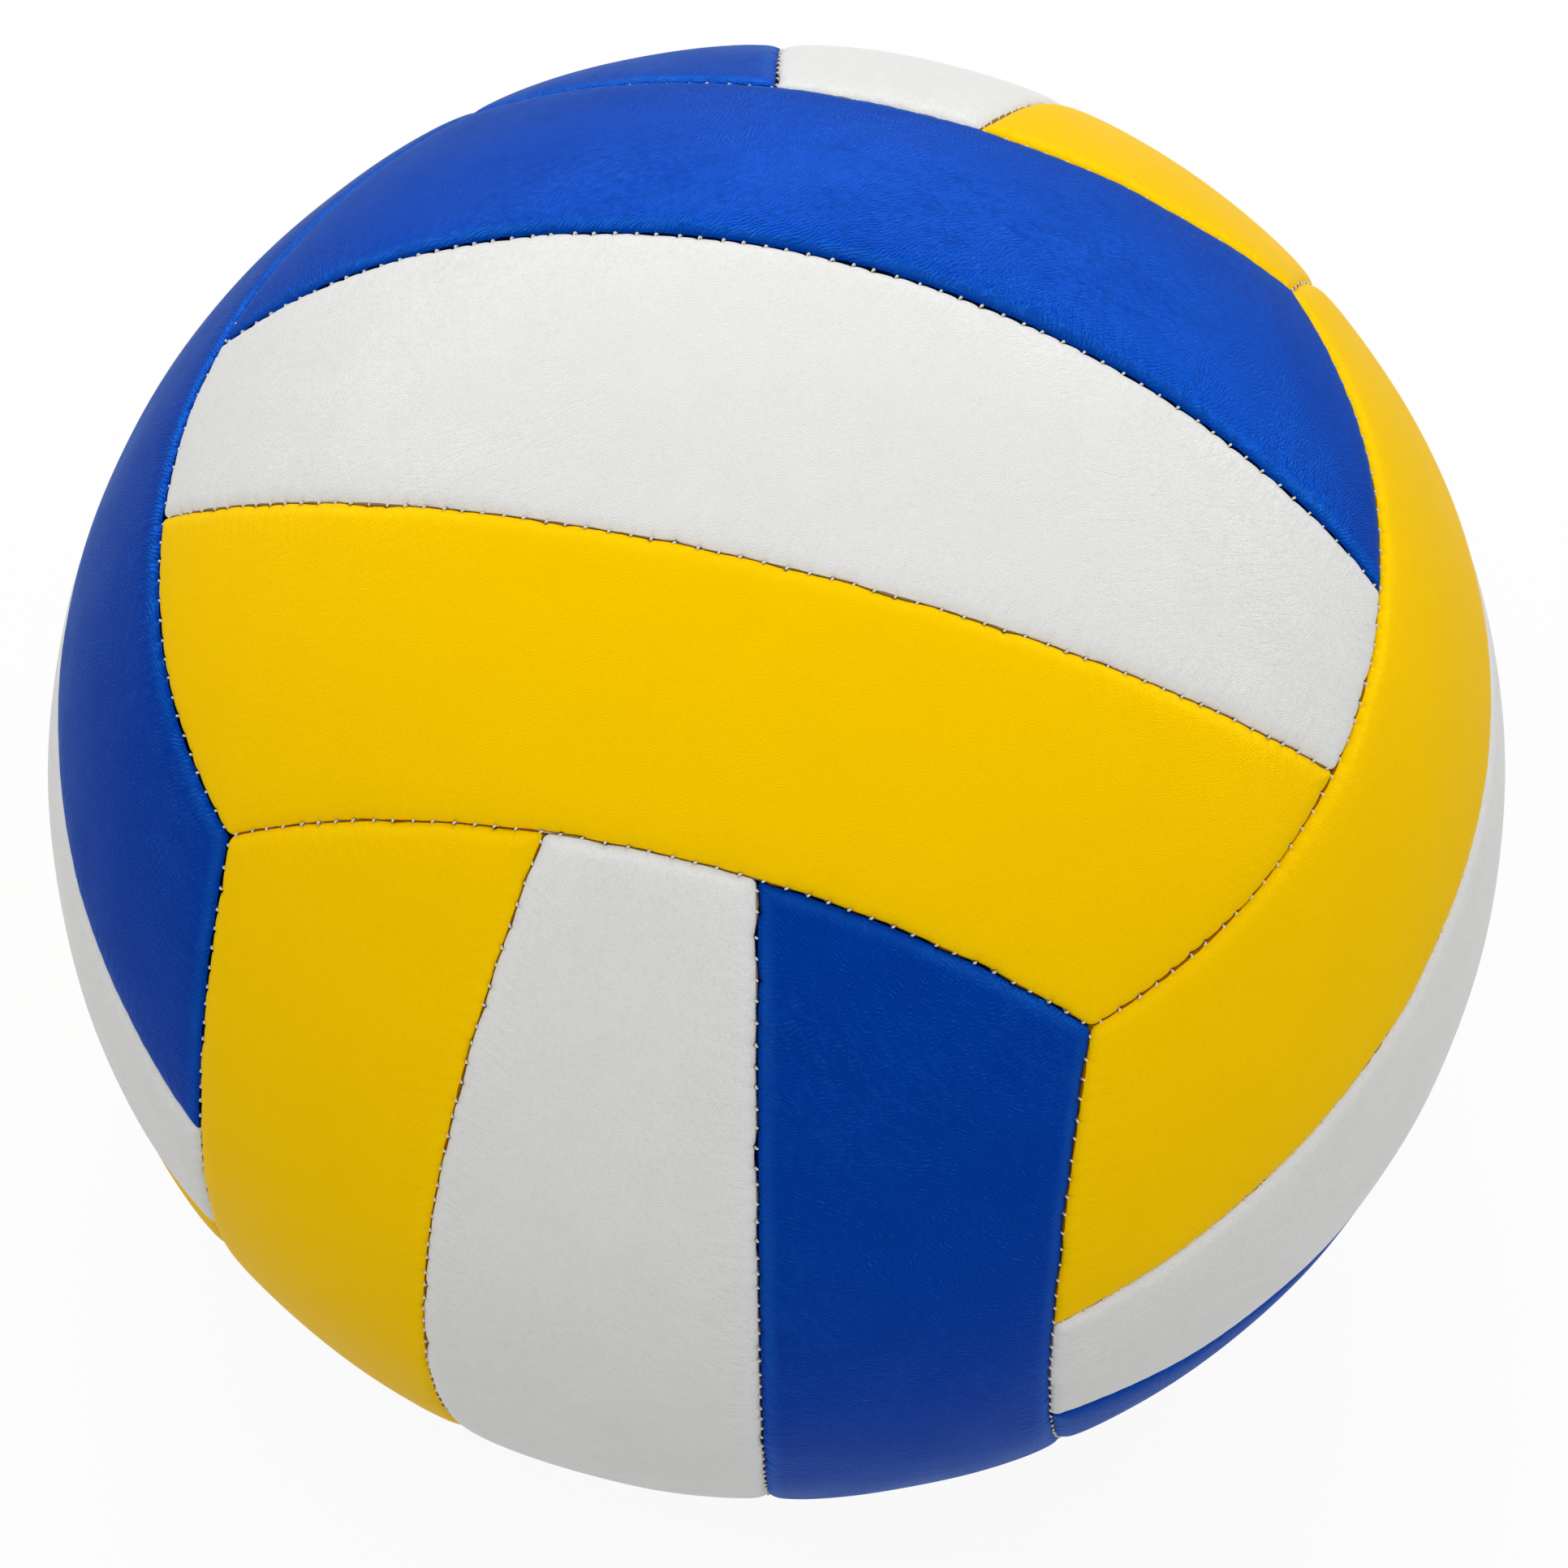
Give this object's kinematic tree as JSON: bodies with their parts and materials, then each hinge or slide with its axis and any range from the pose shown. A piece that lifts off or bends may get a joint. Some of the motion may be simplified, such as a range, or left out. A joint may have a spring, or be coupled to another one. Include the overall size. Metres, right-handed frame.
{
  "type": "volleyball",
  "caption": "Inflated volleyball with a stitched cover of blue, white and yellow strip panels over foam, cloth lining, a rubber bladder and a needle valve.",
  "frame": {"origin": "the middle of the ball", "axes": "+Z through the middle of the top face, -Y through the front face, +Y out through the valve"},
  "size_m": [0.21, 0.2099, 0.21],
  "materials": {
    "skin_blue": "fine-grained artificial leather, soft sheen",
    "skin_white": "fine-grained artificial leather, satin",
    "skin_yellow": "fine-grained artificial leather, satin",
    "foam": "closed-cell foam sheet",
    "lining_cloth": "plain-woven cotton and polyester backing",
    "thread": "twisted polyester sewing thread",
    "bladder_rubber": "butyl rubber, matte",
    "valve_rubber": "moulded rubber, matte",
    "core_rubber": "soft rubber plug, matte"
  },
  "bodies": {
    "root": {"top_yellow_skin": "skin_yellow", "top_yellow_foam": "foam", "top_yellow_lining": "lining_cloth", "top_white_skin": "skin_white", "top_white_foam": "foam", "top_white_lining": "lining_cloth", "top_blue_skin": "skin_blue", "top_blue_foam": "foam", "top_blue_lining": "lining_cloth", "right_blue_skin": "skin_blue", "right_blue_foam": "foam", "right_blue_lining": "lining_cloth", "right_white_skin": "skin_white", "right_white_foam": "foam", "right_white_lining": "lining_cloth", "right_yellow_skin": "skin_yellow", "right_yellow_foam": "foam", "right_yellow_lining": "lining_cloth", "back_blue_skin": "skin_blue", "back_blue_foam": "foam", "back_blue_lining": "lining_cloth", "back_white_skin": "skin_white", "back_white_foam": "foam", "back_white_lining": "lining_cloth", "back_yellow_skin": "skin_yellow", "back_yellow_foam": "foam", "back_yellow_lining": "lining_cloth", "bottom_yellow_skin": "skin_yellow", "bottom_yellow_foam": "foam", "bottom_yellow_lining": "lining_cloth", "bottom_white_skin": "skin_white", "bottom_white_foam": "foam", "bottom_white_lining": "lining_cloth", "bottom_blue_skin": "skin_blue", "bottom_blue_foam": "foam", "bottom_blue_lining": "lining_cloth", "left_blue_skin": "skin_blue", "left_blue_foam": "foam", "left_blue_lining": "lining_cloth", "left_white_skin": "skin_white", "left_white_foam": "foam", "left_white_lining": "lining_cloth", "left_yellow_skin": "skin_yellow", "left_yellow_foam": "foam", "left_yellow_lining": "lining_cloth", "front_blue_skin": "skin_blue", "front_blue_foam": "foam", "front_blue_lining": "lining_cloth", "front_white_skin": "skin_white", "front_white_foam": "foam", "front_white_lining": "lining_cloth", "front_yellow_skin": "skin_yellow", "front_yellow_foam": "foam", "front_yellow_lining": "lining_cloth", "face_seam_thread": "thread", "strip_seam_thread": "thread", "bladder": "bladder_rubber", "valve_stem": "valve_rubber", "valve_core": "core_rubber"}
  },
  "joints": []
}
